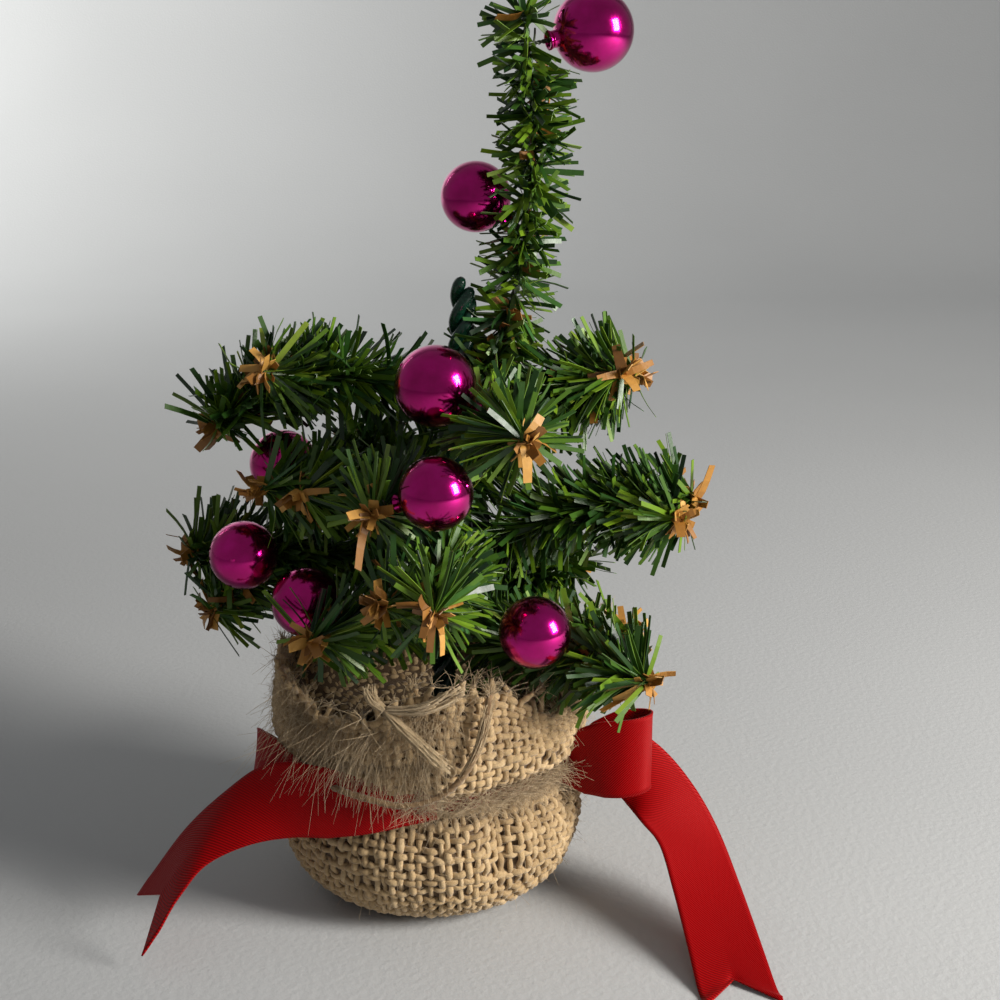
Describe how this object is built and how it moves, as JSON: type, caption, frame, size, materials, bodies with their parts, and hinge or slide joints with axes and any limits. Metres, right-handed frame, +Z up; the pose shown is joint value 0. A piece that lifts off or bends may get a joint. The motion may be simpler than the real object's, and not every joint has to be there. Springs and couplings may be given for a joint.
{
  "type": "artificial tabletop tree",
  "caption": "Small artificial tree: bendable wire branches with strip needles and glass balls on a twisted trunk, in a weighted burlap bag with a satin ribbon.",
  "frame": {"origin": "centre of the flat face the bag stands on", "axes": "+Z up along the tree, -Y towards the front, +X to the right seen from the front"},
  "size_m": [0.1584, 0.1187, 0.2303],
  "materials": {
    "cement": "matte",
    "burlap": "matte",
    "twine": "matte",
    "ribbon": "satin",
    "trunk_wire": "gloss",
    "branch_wire": "satin",
    "needles": "satin",
    "ball_glass": "polished",
    "hanger_wire": "satin"
  },
  "bodies": {
    "base": {"base_weight": "cement", "burlap_pouch": "burlap", "burlap_skirt": "burlap", "neck_twine": "twine", "twine_loose_end": "twine", "ribbon_band": "ribbon", "ribbon_knot": "ribbon", "ribbon_loop_right": "ribbon", "ribbon_loop_left": "ribbon", "ribbon_tail_right": "ribbon", "ribbon_tail_left": "ribbon", "trunk": "trunk_wire", "branch_wraps": "trunk_wire"},
    "branch_low_right": {"branch_wire_low_right": "branch_wire", "needles_low_right": "needles"},
    "branch_right": {"branch_wire_right": "branch_wire", "needles_right": "needles"},
    "branch_upper_right": {"branch_wire_upper_right": "branch_wire", "needles_upper_right": "needles"},
    "branch_upper_front": {"branch_wire_upper_front": "branch_wire", "needles_upper_front": "needles"},
    "branch_middle_front": {"branch_wire_middle_front": "branch_wire", "needles_middle_front": "needles"},
    "branch_front": {"branch_wire_front": "branch_wire", "needles_front": "needles"},
    "branch_low_front_left": {"branch_wire_low_front_left": "branch_wire", "needles_low_front_left": "needles"},
    "branch_left": {"branch_wire_left": "branch_wire", "needles_left": "needles"},
    "branch_long_left": {"branch_wire_long_left": "branch_wire", "needles_long_left": "needles"},
    "branch_upper_left": {"branch_wire_upper_left": "branch_wire", "needles_upper_left": "needles"},
    "branch_upper_back": {"branch_wire_upper_back": "branch_wire", "needles_upper_back": "needles"},
    "branch_back": {"branch_wire_back": "branch_wire", "needles_back": "needles"},
    "branch_low_back": {"branch_wire_low_back": "branch_wire", "needles_low_back": "needles"},
    "garland": {"garland_wire": "branch_wire", "garland_needles": "needles"},
    "ball_garland_left": {"glass_ball_garland_left": "ball_glass", "ball_hanger_garland_left": "hanger_wire"},
    "ball_top": {"glass_ball_top": "ball_glass", "ball_hanger_top": "hanger_wire"},
    "ball_upper_front": {"glass_ball_upper_front": "ball_glass", "ball_hanger_upper_front": "hanger_wire"},
    "ball_middle_front": {"glass_ball_middle_front": "ball_glass", "ball_hanger_middle_front": "hanger_wire"},
    "ball_upper_right": {"glass_ball_upper_right": "ball_glass", "ball_hanger_upper_right": "hanger_wire"},
    "ball_left": {"glass_ball_left": "ball_glass", "ball_hanger_left": "hanger_wire"},
    "ball_long_left": {"glass_ball_long_left": "ball_glass", "ball_hanger_long_left": "hanger_wire"},
    "ball_low_left": {"glass_ball_low_left": "ball_glass", "ball_hanger_low_left": "hanger_wire"},
    "ball_low_front": {"glass_ball_low_front": "ball_glass", "ball_hanger_low_front": "hanger_wire"}
  },
  "joints": [
    {"name": "branch_low_right_bend", "type": "hinge", "parent": "base", "child": "branch_low_right", "pos_m": [0.00942, -0.00331, 0.068], "axis": [-0.5299, -0.848, 0], "range_deg": [-9, 14]},
    {"name": "branch_right_bend", "type": "hinge", "parent": "base", "child": "branch_right", "pos_m": [0.01181, 0.00044, 0.092], "axis": [0.0698, -0.9976, 0], "range_deg": [-14, 14]},
    {"name": "branch_upper_right_bend", "type": "hinge", "parent": "base", "child": "branch_upper_right", "pos_m": [0.01346, 0.00151, 0.122], "axis": [0.2419, -0.9703, 0], "range_deg": [-14, 14]},
    {"name": "branch_upper_front_bend", "type": "hinge", "parent": "base", "child": "branch_upper_front", "pos_m": [0.00977, -0.00587, 0.126], "axis": [-0.9397, -0.342, 0], "range_deg": [-10, 10]},
    {"name": "branch_middle_front_bend", "type": "hinge", "parent": "base", "child": "branch_middle_front", "pos_m": [0.004, -0.00571, 0.108], "axis": [-0.9135, 0.4067, 0], "range_deg": [-8, 6]},
    {"name": "branch_front_bend", "type": "hinge", "parent": "base", "child": "branch_front", "pos_m": [0.00512, -0.00624, 0.088], "axis": [-0.9994, 0.0349, 0], "range_deg": [-14, 9]},
    {"name": "branch_low_front_left_bend", "type": "hinge", "parent": "base", "child": "branch_low_front_left", "pos_m": [0.00051, -0.00472, 0.076], "axis": [-0.7547, 0.6561, 0], "range_deg": [-14, 14]},
    {"name": "branch_left_bend", "type": "hinge", "parent": "base", "child": "branch_left", "pos_m": [-0.00005, -0.0013, 0.1], "axis": [-0.2079, 0.9781, 0], "range_deg": [-4, 6]},
    {"name": "branch_long_left_bend", "type": "hinge", "parent": "base", "child": "branch_long_left", "pos_m": [-0.00108, 0.00098, 0.084], "axis": [0.1564, 0.9877, 0], "range_deg": [-14, 3]},
    {"name": "branch_upper_left_bend", "type": "hinge", "parent": "base", "child": "branch_upper_left", "pos_m": [0.00165, 0.00044, 0.13], "axis": [0.0698, 0.9976, 0], "range_deg": [-1, 14]},
    {"name": "branch_upper_back_bend", "type": "hinge", "parent": "base", "child": "branch_upper_back", "pos_m": [0.00781, 0.00606, 0.104], "axis": [0.9703, -0.2419, 0], "range_deg": [-14, 6]},
    {"name": "branch_back_bend", "type": "hinge", "parent": "base", "child": "branch_back", "pos_m": [0.00251, 0.0053, 0.096], "axis": [0.848, 0.5299, 0], "range_deg": [-14, 14]},
    {"name": "branch_low_back_bend", "type": "hinge", "parent": "base", "child": "branch_low_back", "pos_m": [0.00821, 0.00492, 0.072], "axis": [0.788, -0.6157, 0], "range_deg": [-14, 14]},
    {"name": "garland_bend", "type": "hinge", "parent": "base", "child": "garland", "pos_m": [0.01443, 0, 0.135], "axis": [0, -1, 0], "range_deg": [-12, 3]},
    {"name": "ball_garland_left_swing", "type": "hinge", "parent": "garland", "child": "ball_garland_left", "pos_m": [0.02479, 0, 0.17353], "axis": [0.1407, 0, 0.9901], "range_deg": [-20, 20]},
    {"name": "ball_top_swing", "type": "hinge", "parent": "garland", "child": "ball_top", "pos_m": [0.02512, 0, 0.2174], "axis": [-0.1256, 0, 0.9921], "range_deg": [-30, 30]},
    {"name": "ball_upper_front_swing", "type": "hinge", "parent": "branch_upper_front", "child": "ball_upper_front", "pos_m": [0.01592, -0.02275, 0.13201], "axis": [0.3358, -0.9225, 0.1904], "range_deg": [-25, 10]},
    {"name": "ball_middle_front_swing", "type": "hinge", "parent": "branch_middle_front", "child": "ball_middle_front", "pos_m": [-0.00907, -0.03508, 0.11394], "axis": [-0.4062, -0.9122, -0.0537], "range_deg": [-20, 10]},
    {"name": "ball_upper_right_swing", "type": "hinge", "parent": "branch_upper_right", "child": "ball_upper_right", "pos_m": [0.02517, 0.00443, 0.12905], "axis": [0.8826, 0.2201, 0.4154], "range_deg": [-30, 30]},
    {"name": "ball_left_swing", "type": "hinge", "parent": "branch_left", "child": "ball_left", "pos_m": [-0.03359, -0.00843, 0.11033], "axis": [-0.9718, -0.2066, 0.114], "range_deg": [-10, 25]},
    {"name": "ball_long_left_swing", "type": "hinge", "parent": "branch_long_left", "child": "ball_long_left", "pos_m": [-0.04403, 0.00778, 0.08939], "axis": [-0.9872, 0.1564, -0.0327], "range_deg": [-30, 15]},
    {"name": "ball_low_left_swing", "type": "hinge", "parent": "branch_low_front_left", "child": "ball_low_left", "pos_m": [-0.01883, -0.02696, 0.081], "axis": [-0.6559, -0.7545, 0.0219], "range_deg": [-30, 30]},
    {"name": "ball_low_front_swing", "type": "hinge", "parent": "branch_low_right", "child": "ball_low_front", "pos_m": [0.03463, -0.01907, 0.07124], "axis": [0.8477, -0.5297, -0.0271], "range_deg": [-30, 30]}
  ]
}
